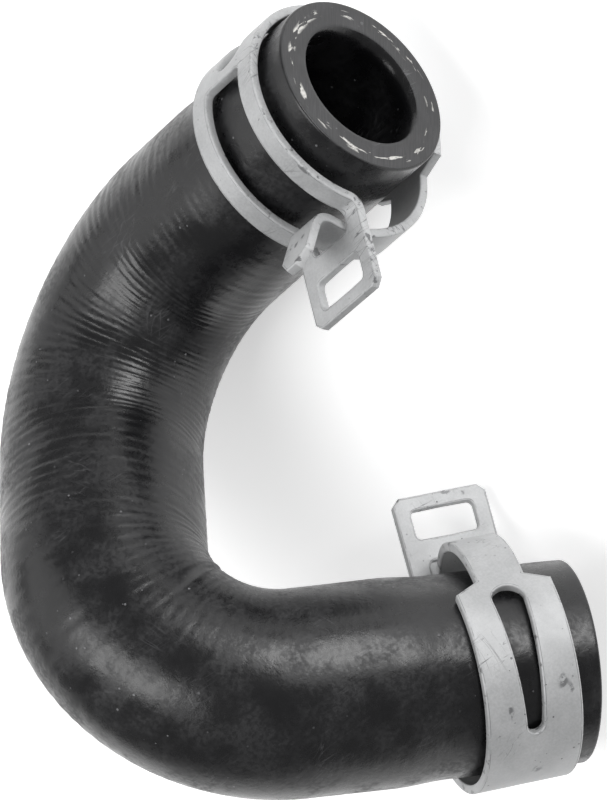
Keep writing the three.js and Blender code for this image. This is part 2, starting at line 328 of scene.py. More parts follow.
def outside_radius(shape, distance):
    """Outside radius along the hose: each pinched mouth swells to its leg by a smooth step, and
    the two legs meet by a straight line."""
    whole = hose_length(shape)
    swell = shape.mouth_reach + shape.swell_reach
    legs = (shape.lower_leg_radius, shape.upper_leg_radius)
    leg = np.interp(distance, (swell, whole - swell), legs)
    lower_share = smooth((distance - shape.mouth_reach) / shape.swell_reach)
    upper_share = smooth((whole - shape.mouth_reach - distance) / shape.swell_reach)
    lower = shape.lower_mouth_radius + (leg - shape.lower_mouth_radius) * lower_share
    upper = shape.upper_mouth_radius + (leg - shape.upper_mouth_radius) * upper_share
    return np.where(distance < whole / 2, lower, upper)


def lay_down(points, shape):
    """From the lower bend's plane to the lying hose: a turn about y, then one about x, then the
    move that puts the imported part's box back where the CAD has it."""
    points = turned(points, Y_AXIS, shape.lean_along)
    return turned(points, X_AXIS, shape.lean_across) + LOWER_MOUTH_AT


def skin_relief(shape, distance, theta):
    """Height of the skin over its plain tube: ridges that the thread leaves, as a sine of the
    distance plus a slant round the hose, broken up by slow sines, strongest between the bends;
    a fold in the inner corner of the lower bend; and slow waves of the moulding."""
    whole = hose_length(shape)
    drift = 0.9 * np.sin(2 * theta + distance / (9 * MM))
    drift = drift + 0.7 * np.sin(5 * theta - distance / (5.3 * MM))
    drift += 0.7 * np.sin(9 * theta + distance / (3.1 * MM))
    phase = 2 * math.pi * (distance + shape.ridge_slant * theta / (2 * math.pi)) / shape.ridge_pitch
    ridge = 0.8 * np.sin(phase + drift) + 0.3 * np.sin(1.62 * phase - 1.7 * drift + 2 * theta)
    ridge += 0.45 * np.sin(0.57 * phase + 1.4 * drift + 3 * theta)
    wander = np.sin(2 * theta + distance / (6.1 * MM)) * np.sin(theta * 3 - distance / (8.3 * MM))
    patches = 0.78 + 0.22 * wander
    patches *= 0.8 + 0.2 * np.sin(7 * theta + distance / (2.7 * MM))
    reach = smooth((distance - 48 * MM) / (26 * MM))
    reach = reach * smooth((whole - 18 * MM - distance) / (22 * MM))
    ridges = shape.ridge_height / 2 * ridge * patches * (0.16 + 0.84 * reach)
    waves = np.sin(2 * theta + distance / (14 * MM)) + np.sin(3 * theta - distance / (11 * MM) + 1)
    waves = 0.07 * MM * waves
    across_fold = distance - 65.8 * MM - 2.4 * MM * (theta - 3.74)
    fold = bump(across_fold, 0, 0.8 * MM) - 0.7 * bump(across_fold, 1.7 * MM, 1.0 * MM)
    fold = -0.32 * MM * fold * bump(theta, 3.85, 0.5)
    ends = smooth(distance / (6 * MM)) * smooth((whole - distance) / (6 * MM))
    return (ridges + waves + fold) * ends


def hose_surface(shape, fineness):
    """The hose as one closed surface of two parameters: a profile that runs up the outside skin,
    over the upper cut face, down the bore and over the lower cut face, carried round the centre
    line. Each point is the centre line plus the radius times the turning side vector. Returns
    the points, the texture places and the material of every ring."""
    whole = hose_length(shape)
    edge, wall, rings = shape.mouth_edge, shape.wall, fineness.hose_rings
    turn = np.linspace(0, math.pi / 2, 5)
    skin = np.linspace(edge, whole - edge, rings)
    bore = np.linspace(whole, 0, 60)
    steps = np.linspace(edge, wall, 9)[1:-1]
    lower_edge = np.stack((edge - edge * np.sin(turn[::-1]), edge - edge * np.cos(turn[::-1])), 1)
    distance = np.concatenate((
        lower_edge[:-1, 0], skin, whole - lower_edge[::-1][1:, 0],
        np.full(len(steps), whole), bore, np.zeros(len(steps)),
    ))
    inset = np.concatenate((
        lower_edge[:-1, 1], np.zeros(rings), lower_edge[::-1][1:, 1],
        steps, np.full(len(bore), wall), steps[::-1],
    ))
    kind = np.concatenate((
        np.zeros(rings + 7), np.ones(1 + len(steps)),
        np.zeros(len(bore) - 1), np.ones(1 + len(steps)),
    )).astype(int)
    theta = np.linspace(0, 2 * math.pi, fineness.hose_sides, endpoint=False)
    s, t = np.meshgrid(distance, theta, indexing="ij")
    radius = outside_radius(shape, distance)[:, None] - inset[:, None]
    is_skin = (inset < 1e-9)[:, None]
    radius = radius + np.where(is_skin, skin_relief(shape, s, t), 0)
    point, heading, side, _ = hose_frames(shape, distance)
    other = np.cross(heading, side)
    around = side[:, None] * np.cos(t)[..., None] + other[:, None] * np.sin(t)[..., None]
    places = point[:, None] + around * radius[..., None]
    run = np.concatenate(((0,), np.cumsum(np.hypot(np.diff(distance), np.diff(inset)))))
    along = np.where(kind == 1, outside_radius(shape, distance) - inset, run)
    return lay_down(places, shape), along / CM, kind


def strip_path(spans):
    """A path in a plane made of straights and arcs, each starting the way the last one ended: an
    arc's chord is its length times the sine of half its turn over half its turn."""
    rows, x, y, heading, start = [], 0.0, 0.0, 0.0, 0.0
    for reach, turn in spans:
        rows.append((x, y, heading, start, reach, turn))
        chord = reach * float(np.sinc(turn / 2 / math.pi))
        x += chord * math.cos(heading + turn / 2)
        y += chord * math.sin(heading + turn / 2)
        heading += turn
        start += reach
    return np.array(rows)


def on_path(rows, distance):
    """x, y and heading at each distance along such a path."""
    which = np.searchsorted(rows[:, 3], distance + 1e-12, side="right") - 1
    x, y, heading, start, reach, turn = rows[np.clip(which, 0, len(rows) - 1)].T
    run = distance - start
    half = turn * run / reach / 2
    chord = run * np.sinc(half / math.pi)
    x = x + chord * np.cos(heading + half)
    y = y + chord * np.sin(heading + half)
    return x, y, heading + 2 * half


def tongue_crossing(clamp, lead):
    """Where the flare crosses the tab's line, y = 0: its own length up to there, and x."""
    rows = strip_path((*lead, (clamp.flare_radius * math.pi, math.pi)))
    run = np.linspace(0, clamp.flare_radius * math.pi, 4001)
    x, y, _ = on_path(rows, rows[-1, 3] + run)
    ahead = (x > 0) & (x < clamp.tab_length + clamp.tab_root_radius)
    best = np.flatnonzero(ahead)[np.argmin(np.abs(y[ahead]))]
    return run[best], x[best]


def slot_half_width(slot, distance):
    """Half width of a slot along the strip: a straight taper whose ends have round corners."""
    start, stop, first, last, corner = slot
    full = np.interp(distance, (start, stop), (first, last)) / 2
    corner = np.minimum(corner, full)
    inset = np.minimum(distance - start, stop - distance)
    rounded = full - corner + np.sqrt(np.maximum(corner**2 - np.maximum(corner - inset, 0) ** 2, 0))
    return np.where((distance > start) & (distance < stop), rounded, 0)


def slot_distance(slot, distance, across):
    """Distance from a place on the strip to a slot: that to a rounded box of the slot's size."""
    start, stop, first, last, corner = slot
    full = np.interp(distance, (start, stop), (first, last)) / 2
    corner = np.minimum(corner, full)
    u = np.abs(distance - (start + stop) / 2) - ((stop - start) / 2 - corner)
    v = np.abs(across) - (full - corner)
    outside = np.hypot(np.maximum(u, 0), np.maximum(v, 0))
    return outside + np.minimum(np.maximum(u, v), 0) - corner


def clamp_plan(clamp, mid_radius, tab_lean):
    """The strip's path, half widths and slots, all by distance from the tab's tip. The tab is a
    straight, then come its root bend, the ring, the flaring tongue and the hook."""
    root = math.pi / 2 - tab_lean
    lead = (
        (clamp.tab_length, 0.0),
        (clamp.tab_root_radius * root, -root),
        (mid_radius * clamp.flare_start, clamp.flare_start),
        (clamp.flare_straight, 0.0),
    )
    crossing, tongue_x = tongue_crossing(clamp, lead)
    flare = crossing + clamp.hook_standoff
    rows = strip_path((
        *lead,
        (flare, flare / clamp.flare_radius),
        (clamp.hook_bend_radius * clamp.hook_bend, -clamp.hook_bend),
        (clamp.hook_length, 0.0),
    ))
    whole = rows[-1, 3] + rows[-1, 4]
    hook = rows[5, 3]

    def ring(reach):
        return rows[2, 3] + mid_radius * reach

    short_start = clamp.arm_reach + clamp.crossbar_reach
    bridge_start = short_start + clamp.short_slot_reach
    taper_start = bridge_start + clamp.bridge_reach
    taper_stop = taper_start + clamp.taper_slot_reach
    slot_top = tongue_x - clamp.thickness / 2 - clamp.tongue_clearance - clamp.slot_corner / 2
    wide = clamp.window_width
    slots = (
        (clamp.window_bar, clamp.window_bar + clamp.window_height, wide, wide, clamp.slot_corner),
        (slot_top, ring(clamp.arm_reach), clamp.arm_gap, clamp.arm_gap, clamp.slot_corner),
        (ring(short_start), ring(bridge_start), clamp.short_slot_width, clamp.short_slot_width,
         clamp.short_slot_width / 2),
        (ring(taper_start), ring(taper_stop), clamp.taper_slot_start, clamp.taper_slot_end,
         clamp.taper_slot_end / 2),
    )
    neck = hook - clamp.hook_standoff - clamp.thickness
    half = clamp.width / 2
    outline = np.array((
        (0, half - clamp.tab_corner),
        (clamp.tab_corner, half),
        (ring(taper_stop), half),
        (ring(taper_stop + clamp.shoulder_reach), clamp.tongue_width / 2),
        (neck - clamp.tongue_neck, clamp.tongue_width / 2),
        (neck, clamp.hook_width / 2),
        (whole - clamp.hook_tip_taper, clamp.hook_width / 2),
        (whole, clamp.hook_tip_width / 2),
    ))
    return rows, outline, slots, whole


def strip_surface(clamp, fineness, mid_radius, tab_lean):
    """A bent strip of sheet as a surface of its distance along the path and its place across, on
    two sides. A point is the path, plus half the thickness along the path's normal, less the
    rounding: a quarter circle of the distance to the nearest edge. Returns the grid of points,
    each one's distance and place across, its distance to the nearest edge, and the slots' half
    width at every station."""
    rows, outline, slots, whole = clamp_plan(clamp, mid_radius, tab_lean)
    edge = clamp.edge_round
    near = np.array((0.02, 0.08, 0.16, 0.25, 0.4))
    marks = [np.arange(0, whole, fineness.strip_step), outline[:, 0], rows[:, 3], (whole,)]
    for start, stop, first, last, corner in slots:
        for end, way, size in ((start, 1, first), (stop, -1, last)):
            rounding = min(corner, size / 2)
            sweep = rounding * (1 - np.cos(np.linspace(0.12, math.pi / 2, 12)))
            marks += [(end,), end + way * sweep, end - way * near * MM]
    marks += [near * MM, whole - near * MM]
    distance = np.unique(np.round(np.concatenate([np.atleast_1d(m) for m in marks]), 7))
    distance = distance[(distance >= 0) & (distance <= whole)]
    outer = np.interp(distance, outline[:, 0], outline[:, 1])
    gap = np.max([slot_half_width(slot, distance) for slot in slots], axis=0)
    lip = np.array((0, 0.03, 0.09, 0.17, 0.27)) * MM
    inner_share = np.linspace(0, 1, 14)[1:-1]
    low, high = gap[:, None], outer[:, None]
    middle = low + lip[-1] + (high - low - 2 * lip[-1]) * inner_share
    columns = np.concatenate((low + lip, middle, high - lip[::-1]), 1)
    across = np.stack((-columns, columns), 1)
    d = np.broadcast_to(distance[:, None, None], across.shape)
    slope = np.gradient(outer, distance)[:, None, None]
    clear = (outer[:, None, None] - np.abs(across)) / np.hypot(1, slope)
    to_slots = (slot_distance(slot, d, across) for slot in slots)
    clear = np.minimum.reduce([clear, d, whole - d, *to_slots])
    fall = edge - np.sqrt(np.maximum(edge**2 - np.clip(edge - clear, 0, edge) ** 2, 0))
    half = clamp.thickness / 2 - fall
    x, y, heading = (value[:, None, None] for value in on_path(rows, distance))
    ring = rows[2]
    centre_x = ring[0] - mid_radius * math.sin(ring[2])
    centre_y = ring[1] + mid_radius * math.cos(ring[2])
    sides = [
        np.stack((
            x - centre_x + thick * np.sin(heading), y - centre_y - thick * np.cos(heading), across,
        ), -1)
        for thick in (half, -half)
    ]
    points = turned(np.stack(sides, 3), Z_AXIS, math.pi / 2 - ring[2])
    return points, d, across, clear, gap


def clamp_placing(shape, clamp, at_start, turn, skew, tip, rests_at):
    """Matrix and place of a clamp: its axis looks into the hose, it is turned round the hose from
    the bend's plane, skewed about two axes, and hangs off centre by the room that it has."""
    whole = hose_length(shape)
    point, heading, _, across = (row[0] for row in hose_frames(shape, 0.0 if at_start else whole))
    inward = heading if at_start else -heading
    hose_radius = shape.lower_mouth_radius if at_start else shape.upper_mouth_radius
    bore = max(shape.lower_mouth_radius, shape.upper_mouth_radius) + clamp.clearance
    x = turned(across, inward, turn)
    basis = np.stack((x, np.cross(inward, x), inward))
    basis = turned(turned(basis, across, skew), np.cross(inward, across), tip)
    drop = turned(across, inward, rests_at)
    place = point + inward * (clamp.setback + clamp.width / 2)
    place = place + drop * (bore - hose_radius - clamp.rest_gap)
    return basis, place, bore + clamp.thickness / 2


def new_object(name, data):
    """An object in the scene that shows this data."""
    item = bpy.data.objects.new(name, data)
    bpy.context.scene.collection.objects.link(item)
    return item


def mesh_piece(name, points, faces):
    """A new object at the origin from whole arrays of points and of faces."""
    mesh = bpy.data.meshes.new(name)
    mesh.from_pydata(points, [], faces)
    mesh.validate()
    mesh.polygons.foreach_set("use_smooth", np.ones(len(mesh.polygons), bool))
    return new_object(name, mesh)


def grid_faces(rows, columns, wrap_rows=False, wrap_columns=False):
    """Quads of a grid that may close on itself along its rows or its columns."""
    i = np.arange(rows if wrap_rows else rows - 1)
    j = np.arange(columns if wrap_columns else columns - 1)
    i, j = np.meshgrid(i, j, indexing="ij")
    i, j = i.ravel(), j.ravel()
    k, m = (i + 1) % rows, (j + 1) % columns
    return np.stack((i * columns + j, i * columns + m, k * columns + m, k * columns + j), 1)


def clean_up(piece, gap=2e-6):
    """Merges doubled points, drops faces with no area and turns every face outwards."""
    build = bmesh.new()
    build.from_mesh(piece.data)
    bmesh.ops.remove_doubles(build, verts=build.verts, dist=gap)
    bmesh.ops.dissolve_degenerate(build, edges=build.edges, dist=gap / 4)
    bmesh.ops.recalc_face_normals(build, faces=build.faces)
    if build.calc_volume(signed=True) < 0:
        bmesh.ops.reverse_faces(build, faces=build.faces)
    build.to_mesh(piece.data)
    build.free()


def make_hose_mesh(shape, fineness):
    """The hose's closed grid, with its texture places per corner so that the seam stays sharp."""
    points, along, kind = hose_surface(shape, fineness)
    rows, columns = points.shape[:2]
    faces = grid_faces(rows, columns, wrap_rows=True, wrap_columns=True)
    piece = mesh_piece("moulded_hose", points.reshape(-1, 3), faces[:, ::-1])
    mesh = piece.data
    row, column = np.divmod(np.arange(rows * columns), columns)
    start, stop = along[row], along[(row + 1) % rows]
    stop = np.where(np.abs(stop - start) > 2, start, stop)
    corner_u = np.stack((start, start, stop, stop), 1)[:, ::-1]
    left, right = column / columns, (column + 1) / columns
    corner_v = np.stack((left, right, right, left), 1)[:, ::-1]
    layer = mesh.uv_layers.new(name="round_the_hose")
    layer.data.foreach_set("uv", np.stack((corner_u, corner_v), -1).astype(np.float32).ravel())
    mesh.polygons.foreach_set("material_index", (kind[row] == 1).astype(np.int32))
    return piece


def make_clamp_mesh(end, shape, clamp, fineness, placing, tab_lean):
    """The strip's two halves as one closed body: both faces, the outer edges, the edges of the
    slots, and the two ends. Halves meet along the middle wherever no slot parts them. The
    attributes near_edge and scuffs are bells round the edges and round the scuffs."""
    basis, place, mid_radius = placing
    points, d, across, clear, gap = strip_surface(clamp, fineness, mid_radius, tab_lean)
    rows, halves, columns = d.shape
    index = np.arange(rows * halves * columns * 2).reshape(rows, halves, columns, 2)

    def quads(a, b, c, e):
        return np.stack([part.ravel() for part in (a, b, c, e)], 1)

    faces = []
    for side in (0, 1):
        part = index[..., side]
        faces.append(quads(part[:-1, :, :-1], part[1:, :, :-1], part[1:, :, 1:], part[:-1, :, 1:]))
    parted = (gap[:-1] > 0) | (gap[1:] > 0)
    for column, kept in ((-1, slice(None)), (0, parted)):
        here, ahead = index[:-1, :, column][kept], index[1:, :, column][kept]
        faces.append(quads(here[..., 0], ahead[..., 0], ahead[..., 1], here[..., 1]))
    for row in (0, -1):
        cap = index[row]
        faces.append(quads(cap[:, :-1, 0], cap[:, 1:, 0], cap[:, 1:, 1], cap[:, :-1, 1]))
    world = points.reshape(-1, 3) @ basis + place
    piece = mesh_piece(f"{end}_band_clamp", lay_down(world, shape), np.concatenate(faces))
    near_edge = np.repeat(bump(clear, 0, 0.45 * MM)[..., None], 2, -1)
    scuffs = np.zeros((*d.shape, 2))
    for distance, place_across, side, reach, reach_across, dark in SCUFFS[end]:
        blot = bump(d, distance * MM, reach * MM)
        blot = blot * bump(across, place_across * MM, reach_across * MM)
        scuffs[..., side] += dark * blot
    for label, value in (("near_edge", near_edge), ("scuffs", scuffs)):
        attribute = piece.data.attributes.new(label, "FLOAT", "POINT")
        attribute.data.foreach_set("value", value.astype(np.float32).ravel())
    clean_up(piece)
    return piece


class Nodes:
    """Adds nodes to a tree and joins them, with each input given as a value or a socket."""

    def __init__(self, tree):
        self.tree = tree

    def feed(self, socket, value):
        """Gives a socket a value or joins another socket to it."""
        if isinstance(value, bpy.types.NodeSocket):
            self.tree.links.new(value, socket)
        else:
            socket.default_value = value

    def add(self, kind, inputs=None, **settings):
        """A node of this kind with its settings and inputs."""
        node = self.tree.nodes.new(kind)
        for key, value in settings.items():
            setattr(node, key, value)
        for key, value in (inputs or {}).items():
            self.feed(node.inputs[key], value)
        return node

    def math(self, operation, first, second=0.0, clamp=False):
        """Arithmetic on one or two values."""
        inputs = {0: first, 1: second}
        return self.add("ShaderNodeMath", inputs, operation=operation, use_clamp=clamp).outputs[0]

    def times(self, first, second):
        """The product of two values."""
        return self.math("MULTIPLY", first, second)

    def off(self, value, middle):
        """How far a value lies from a middle one, either way."""
        return self.math("ABSOLUTE", self.math("SUBTRACT", value, middle))

    def noise(self, vector, scale, detail=3.0, roughness=0.5):
        """Noise at a place, from 0 to 1."""
        inputs = {"Vector": vector, "Scale": scale, "Detail": detail, "Roughness": roughness}
        return self.add("ShaderNodeTexNoise", inputs).outputs[0]

    def range(self, value, low, high, start=0.0, stop=1.0, kind="SMOOTHSTEP"):
        """Takes a value from low..high to start..stop, by a smooth step."""
        inputs = {
            "Value": value, "From Min": low, "From Max": high, "To Min": start, "To Max": stop,
        }
        return self.add("ShaderNodeMapRange", inputs, interpolation_type=kind).outputs[0]

    def mix(self, factor, first, second):
        """One colour over another by a factor."""
        node = self.add("ShaderNodeMix", data_type="RGBA")
        for name, value in (("Factor_Float", factor), ("A_Color", first), ("B_Color", second)):
            self.feed(next(one for one in node.inputs if one.identifier == name), value)
        return next(one for one in node.outputs if one.identifier == "Result_Color")

    def stretch(self, vector, scale, turn=(0, 0, 0)):
        """A place with its axes turned and scaled."""
        inputs = {"Vector": vector, "Scale": scale, "Rotation": turn}
        return self.add("ShaderNodeMapping", inputs).outputs[0]

    def bump(self, height, strength, distance, **under):
        """A bumped normal from a height, over another normal where one is given."""
        inputs = {"Height": height, "Strength": strength, "Distance": distance, **under}
        return self.add("ShaderNodeBump", inputs).outputs[0]


def new_group(name, inputs, outputs):
    """A shader group that takes a place and these numbers, and gives these masks."""
    group = bpy.data.node_groups.new(name, "ShaderNodeTree")
    sockets = [("Vector", "INPUT", "NodeSocketVector")]
    sockets += [(label, "INPUT", "NodeSocketFloat") for label in inputs]
    sockets += [(label, "OUTPUT", "NodeSocketFloat") for label in outputs]
    for label, way, kind in sockets:
        group.interface.new_socket(name=label, in_out=way, socket_type=kind)
    given, out = (group.nodes.new(kind) for kind in ("NodeGroupInput", "NodeGroupOutput"))
    return Nodes(group), given.outputs, out.inputs


def speck_group(name):
    """Specks and short scratches: specks are the middles of scattered cells that a coarse noise
    lets through, and scratches are the thin level lines of a stretched noise."""
    numbers = ("Speck Scale", "Speck Amount", "Scratch Amount")
    nodes, given, out = new_group(name, numbers, ("Specks", "Scratches"))
    place = given["Vector"]
    inputs = {"Vector": place, "Scale": given["Speck Scale"]}
    cells = nodes.add("ShaderNodeTexVoronoi", inputs)
    size = nodes.add("ShaderNodeSeparateColor", {"Color": cells.outputs["Color"]}).outputs[0]
    reach = nodes.times(nodes.range(size, 0.7, 1.0, 0.0, 0.42), given["Speck Amount"])
    inside = nodes.math("SUBTRACT", reach, cells.outputs["Distance"])
    speck = nodes.math("GREATER_THAN", inside, 0.0)
    speck = nodes.times(speck, nodes.range(nodes.noise(place, 60, 2), 0.42, 0.62))
    lines = []
    for turn, scale in (((0.3, 0.5, 0.2), (60, 900, 60)), ((1.2, 0.2, 0.9), (70, 60, 1000))):
        streak = nodes.noise(nodes.stretch(place, scale, turn), 1.0, 2)
        lines.append(nodes.range(nodes.off(streak, 0.5), 0.0, 0.012, 1.0, 0.0))
    patch = nodes.range(nodes.noise(place, 95, 2), 0.56, 0.68)
    scratch = nodes.times(nodes.math("MAXIMUM", *lines), patch)
    nodes.feed(out["Specks"], speck)
    nodes.feed(out["Scratches"], nodes.times(scratch, given["Scratch Amount"]))
    return nodes.tree


def cloud_group(name):
    """Uneven film: the clouds of a slow noise, and the fine grain of a quick one."""
    nodes, given, out = new_group(name, ("Cloud Scale", "Grain Scale"), ("Clouds", "Grain"))
    slow = nodes.noise(given["Vector"], given["Cloud Scale"], 4, 0.6)
    nodes.feed(out["Clouds"], nodes.range(slow, 0.35, 0.68))
    nodes.feed(out["Grain"], nodes.noise(given["Vector"], given["Grain Scale"], 3, 0.6))
    return nodes.tree


GROUPS = {"specks and scratches": speck_group, "uneven film": cloud_group}


def new_material(name):
    """A material whose tree holds one Principled shader and the object's coordinates."""
    material = bpy.data.materials.new(name)
    material.use_nodes = True
    nodes = Nodes(material.node_tree)
    shader = next(node for node in material.node_tree.nodes if node.type == "BSDF_PRINCIPLED")
    place = nodes.add("ShaderNodeTexCoord").outputs["Object"]
    return material, nodes, shader, place


def shared(nodes, name, *values):
    """Places a shared group, made on its first use, at a place and with its numbers in their
    order, and gives its two masks."""
    group = bpy.data.node_groups.get(name) or GROUPS[name](name)
    node = nodes.add("ShaderNodeGroup", dict(enumerate(values)), node_tree=group)
    return node.outputs[0], node.outputs[1]


def dress(nodes, shader, base, rough, relief):
    """Joins a finish's colour, roughness and normal to its shader."""
    for name, value in (("Base Color", base), ("Roughness", rough), ("Normal", relief)):
        nodes.feed(shader.inputs[name], value)


def rubber_material(finish):
    """Satin black moulded rubber: a grey film in clouds, fine grain, dust specks and scuffs."""
    material, nodes, shader, place = new_material("moulded_rubber")
    clouds, grain = shared(nodes, "uneven film", place, 130, 1500)
    specks, scratches = shared(nodes, "specks and scratches", place, 760, 0.36, 0.45)
    film = nodes.times(clouds, nodes.range(grain, 0.35, 0.65, 0.4, 1.0))
    base = nodes.mix(film, finish.rubber, finish.rubber_bloom)
    base = nodes.mix(nodes.times(specks, 0.6), base, finish.dust)
    base = nodes.mix(nodes.times(scratches, 0.35), base, finish.dust)
    rough = nodes.range(film, 0.0, 1.0, finish.skin_roughness - 0.08, finish.skin_roughness + 0.2)
    rough = nodes.math("ADD", rough, nodes.times(specks, 0.2))
    fine = nodes.bump(grain, 0.4, 0.06 * MM)
    relief = nodes.bump(nodes.noise(place, 420, 4, 0.65), 0.4, 0.14 * MM, Normal=fine)
    dress(nodes, shader, base, rough, relief)
    return material


def cut_face_material(finish, shape):
    """Sawn rubber end: mid grey with fine saw marks across it, and white ends of the thread in a
    broken ring part of the way through the wall. The marks are a noise that is quick along one
    way and slow along the other. The ring is where the radius, plus a wandering noise, is that
    of the thread, and it shows where a noise round the turn is high."""
    material, nodes, shader, place = new_material("cut_rubber_face")
    clouds, _ = shared(nodes, "uneven film", place, 120, 1700)
    uv = nodes.add("ShaderNodeUVMap", uv_map="round_the_hose").outputs[0]
    parts = nodes.add("ShaderNodeSeparateXYZ", {"Vector": uv})
    radius, turn = parts.outputs[0], parts.outputs[1]
    cut = nodes.add("ShaderNodeCombineXYZ")
    for axis, way in enumerate((ACROSS_SAW_MARKS, ALONG_SAW_MARKS)):
        dot = nodes.add("ShaderNodeVectorMath", {0: place, 1: way}, operation="DOT_PRODUCT")
        nodes.feed(cut.inputs[axis], dot.outputs["Value"])
    saw = nodes.noise(cut.outputs[0], 1.0, 3)
    dark, pale = (
        tuple(value * part for value in finish.cut_face[:3]) + (1,) for part in (0.55, 1.35)
    )
    base = nodes.mix(nodes.range(saw, 0.3, 0.7), dark, pale)
    base = nodes.mix(nodes.times(clouds, 0.45), base, finish.rubber_bloom)
    ring_radius = (shape.upper_mouth_radius - 0.44 * shape.wall) / CM
    wander = nodes.times(nodes.math("SUBTRACT", nodes.noise(place, 160, 2), 0.5), 0.16)
    off_ring = nodes.off(nodes.math("ADD", radius, wander), ring_radius)
    ring = nodes.range(off_ring, 0.03, 0.08, 1.0, 0.0)
    inputs = {"X": nodes.times(turn, 24.0), "Y": nodes.times(radius, 12.0)}
    pulled = nodes.noise(nodes.add("ShaderNodeCombineXYZ", inputs).outputs[0], 1.0, 3, 0.55)
    for place_in_turn, reach, more in THREAD_ENDS:
        near = nodes.range(nodes.off(turn, place_in_turn), 0.0, reach, more, 0.0)
        pulled = nodes.math("ADD", pulled, near)
    thread = nodes.times(ring, nodes.range(pulled, 0.575, 0.625))
    fibre = nodes.noise(nodes.stretch(place, (900, 2600, 900)), 1.0, 2)
    fibre = nodes.times(thread, nodes.range(fibre, 0.3, 0.6, 0.55, 1.0))
    base = nodes.mix(fibre, base, finish.thread)
    marks = nodes.math("MAXIMUM", *shared(nodes, "specks and scratches", place, 700, 0.6, 0.9))
    base = nodes.mix(nodes.times(marks, 0.5), base, finish.dust)
    rough = nodes.range(saw, 0.2, 0.8, 0.5, 0.72)
    height = nodes.math("ADD", nodes.times(saw, 0.7), thread)
    dress(nodes, shader, base, rough, nodes.bump(height, 0.5, 0.06 * MM))
    return material


def coating_material(finish):
    """Matte zinc flake coating on spring steel: pale grey clouds and flakes, brighter and rubbed
    edges, dark scuffs and thin cracks where it is worn through, and a thin broken dark line of
    painted shade just inside every edge that stands for the strip's shaded thickness."""
    material, nodes, shader, place = new_material("zinc_flake_coating")
    clouds, grain = shared(nodes, "uneven film", place, 160, 2600)
    specks, scratches = shared(nodes, "specks and scratches", place, 1100, 0.5, 1.0)
    edge, scuffs = (
        nodes.add("ShaderNodeAttribute", attribute_name=name).outputs["Fac"]
        for name in ("near_edge", "scuffs")
    )
    flakes = nodes.range(grain, 0.3, 0.7, 0.0, 0.45)
    tone = nodes.math("ADD", nodes.times(clouds, 0.5), flakes)
    base = nodes.mix(tone, finish.coating, finish.coating_pale)
    rubbed = nodes.noise(place, 330, 4, 0.6)
    bright = nodes.times(edge, nodes.range(rubbed, 0.45, 0.6))
    base = nodes.mix(nodes.times(bright, 0.4), base, finish.coating_pale)
    # Painted shade: a thin broken dark line just inside every edge, in the bare steel colour,
    # stands for the strip's shaded thickness
    line = nodes.range(nodes.off(edge, 0.66), 0.0, 0.11, 1.0, 0.0)
    line = nodes.times(line, nodes.range(rubbed, 0.4, 0.54))
    bare = nodes.range(nodes.noise(place, 520, 4, 0.65), 0.58, 0.68)
    bare = nodes.times(nodes.range(edge, 0.6, 0.95), bare)
    worn = nodes.noise(nodes.stretch(place, (230, 420, 320)), 1.0, 5, 0.68)
    worn = nodes.range(worn, 0.68, 0.73)
    torn = nodes.noise(nodes.stretch(place, (700, 1100, 900)), 1.0, 3, 0.6)
    torn = nodes.times(scuffs, nodes.range(torn, 0.35, 0.6, 0.2, 1.3))
    # This mask gathers real wear (scuffs, bare and worn patches, specks, scratches) and the painted
    # edge shade line; the wear setting scales both
    wear_and_edge_shade = nodes.range(torn, 0.2, 0.75, 0.0, 0.85)
    for more in (bare, worn, specks, scratches, line):
        wear_and_edge_shade = nodes.math("MAXIMUM", wear_and_edge_shade, more)
    wear_and_edge_shade = nodes.math("MULTIPLY", wear_and_edge_shade, 0.25 + 0.9 * finish.wear, clamp=True)
    base = nodes.mix(wear_and_edge_shade, base, finish.bare_steel_and_edge_shade)
    rough = nodes.range(grain, 0.2, 0.8, 0.42, 0.62)
    height = nodes.math("SUBTRACT", nodes.times(grain, 0.5), wear_and_edge_shade)
    dress(nodes, shader, base, rough, nodes.bump(height, 0.35, 0.08 * MM))
    metal = nodes.range(wear_and_edge_shade, 0.0, 1.0, 0.25, 0.7, kind="LINEAR")
    nodes.feed(shader.inputs["Metallic"], metal)
    return material


def floor_material(studio):
    """Pale matte floor with the faintest clouding."""
    material, nodes, shader, place = new_material("pale_floor")
    cloud = nodes.noise(place, 3, 2)
    tint = tuple(value * 0.985 for value in studio.floor[:3]) + (1,)
    nodes.feed(shader.inputs["Base Color"], nodes.mix(cloud, tint, studio.floor))
    shader.inputs["Emission Color"].default_value = studio.floor
    shader.inputs["Emission Strength"].default_value = studio.floor_glow
    shader.inputs["Roughness"].default_value = 0.9
    shader.inputs["Specular IOR Level"].default_value = 0.1
    return material


def square_axes(first, second):
    """Unit axes: the first, what of the second is square to it, and their cross product."""
    first = first / np.linalg.norm(first)
    second = second - first * (second @ first)
    second = second / np.linalg.norm(second)
    return first, second, np.cross(first, second)


def place_object(item, right, up, back, place):
    """Sets an object's matrix from its three axes and its place."""
    matrix = np.eye(4)
    matrix[:3, 0], matrix[:3, 1], matrix[:3, 2], matrix[:3, 3] = right, up, back, place
    item.matrix_world = Matrix(matrix.tolist())


